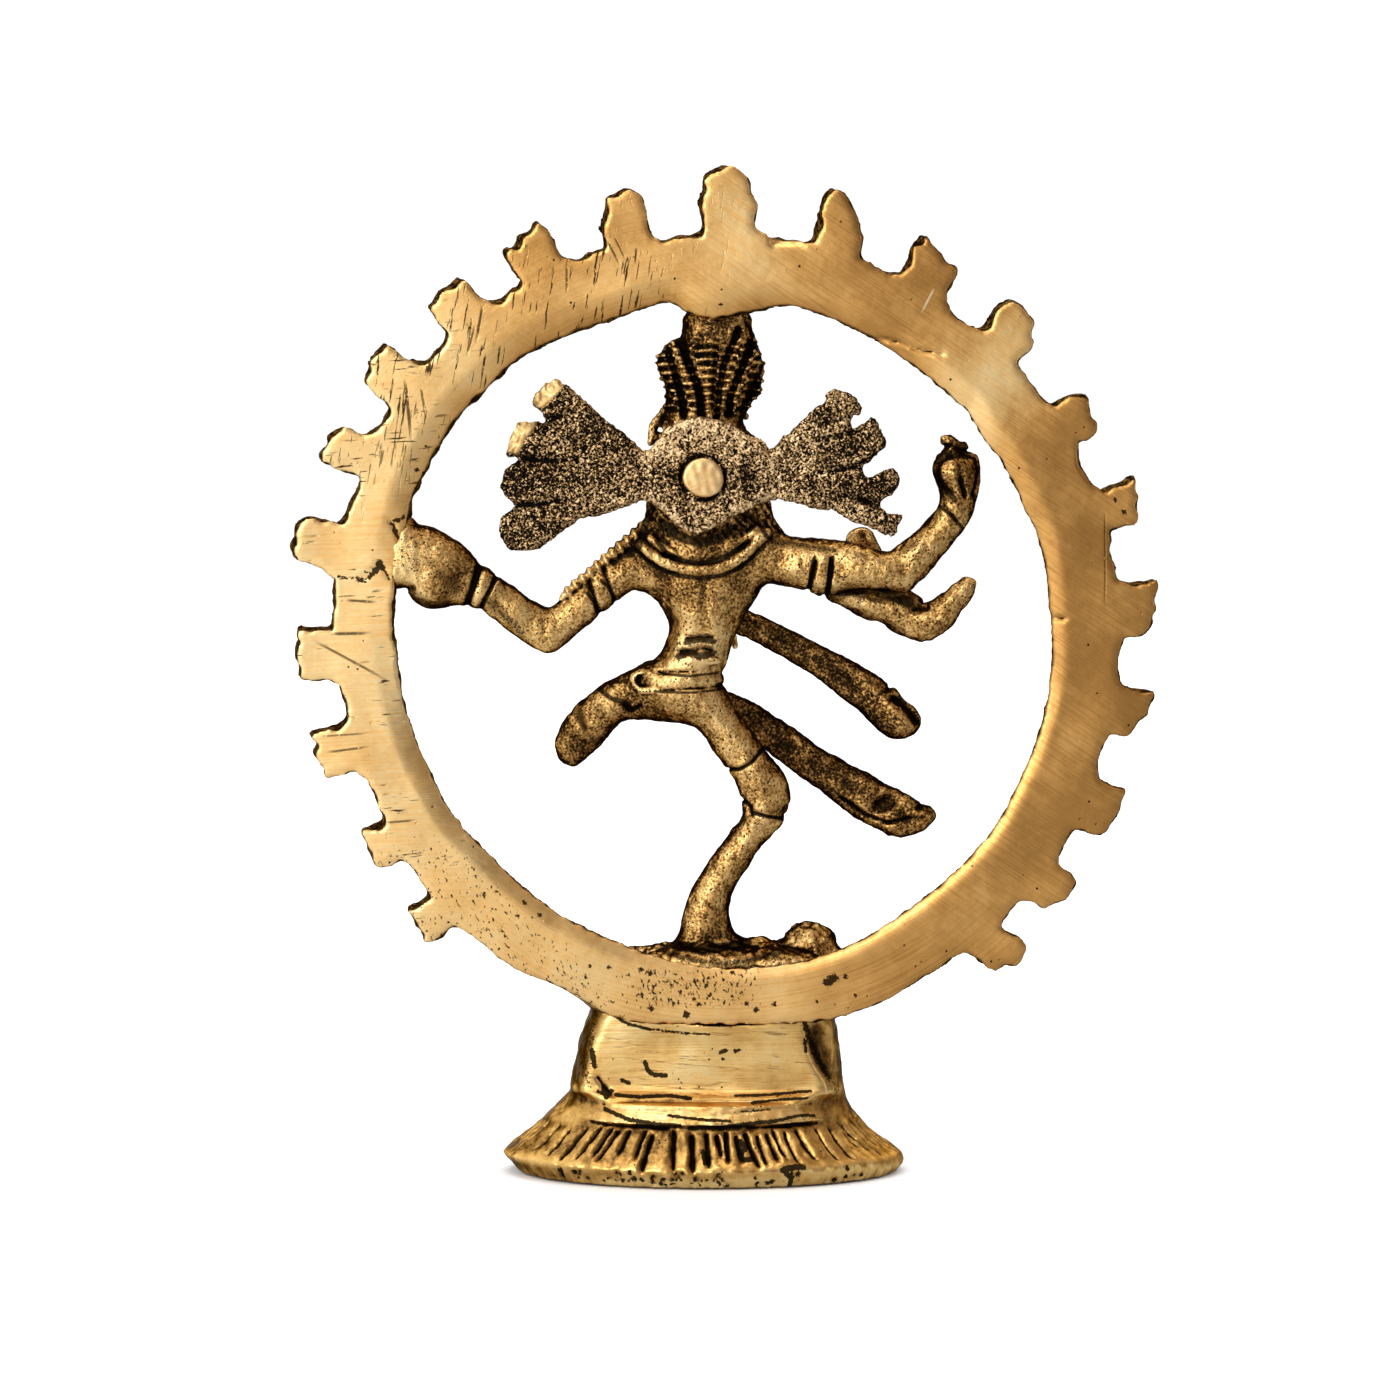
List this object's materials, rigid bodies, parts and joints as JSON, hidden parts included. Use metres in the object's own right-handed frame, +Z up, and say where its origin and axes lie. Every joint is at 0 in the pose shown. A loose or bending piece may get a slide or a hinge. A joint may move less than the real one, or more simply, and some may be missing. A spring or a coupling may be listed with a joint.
{
  "type": "dancer statuette in a flame ring",
  "caption": "Cast brass dancer balanced inside a ring of flame tongues, on a hollow oval lotus pedestal, with a flat fan of flying hair riveted behind the head.",
  "frame": {"origin": "on the plane of the foot's rim, midway between the ring's left and right tongues and midway between the foot's front and back", "axes": "+Z up; +Y is the way the dancer's face and chest point; -Y is the side of the filed back of the ring, which the picture shows; +X is to the right of a viewer who looks along +Y"},
  "size_m": [0.1135, 0.0342, 0.1326],
  "materials": {
    "pedestal_brass": "filed and carved casting, dark in the grooves",
    "ring_brass": "filed flat face with file marks and pits, dark cast sides",
    "figure_brass": "antiqued casting, rubbed bright on the high places",
    "dark_brass": "antiqued casting, dark in the hollows",
    "fan_brass": "rough sand-cast skin, black with bright grains",
    "rivet_brass": "plain hammered and filed end"
  },
  "bodies": {
    "root": {"pedestal": "pedestal_brass", "flame_ring": "ring_brass", "dwarf": "figure_brass", "standing_leg": "figure_brass", "raised_leg": "dark_brass", "torso": "figure_brass", "waist_belt": "figure_brass", "necklace": "figure_brass", "head": "dark_brass", "crown": "dark_brass", "hair_fan": "fan_brass", "fan_rivet": "rivet_brass", "rear_left_arm": "figure_brass", "rear_right_arm": "figure_brass", "drum": "dark_brass", "front_left_arm": "dark_brass", "front_right_arm": "figure_brass", "cobra": "figure_brass", "shoulder_strand": "figure_brass"}
  },
  "joints": []
}
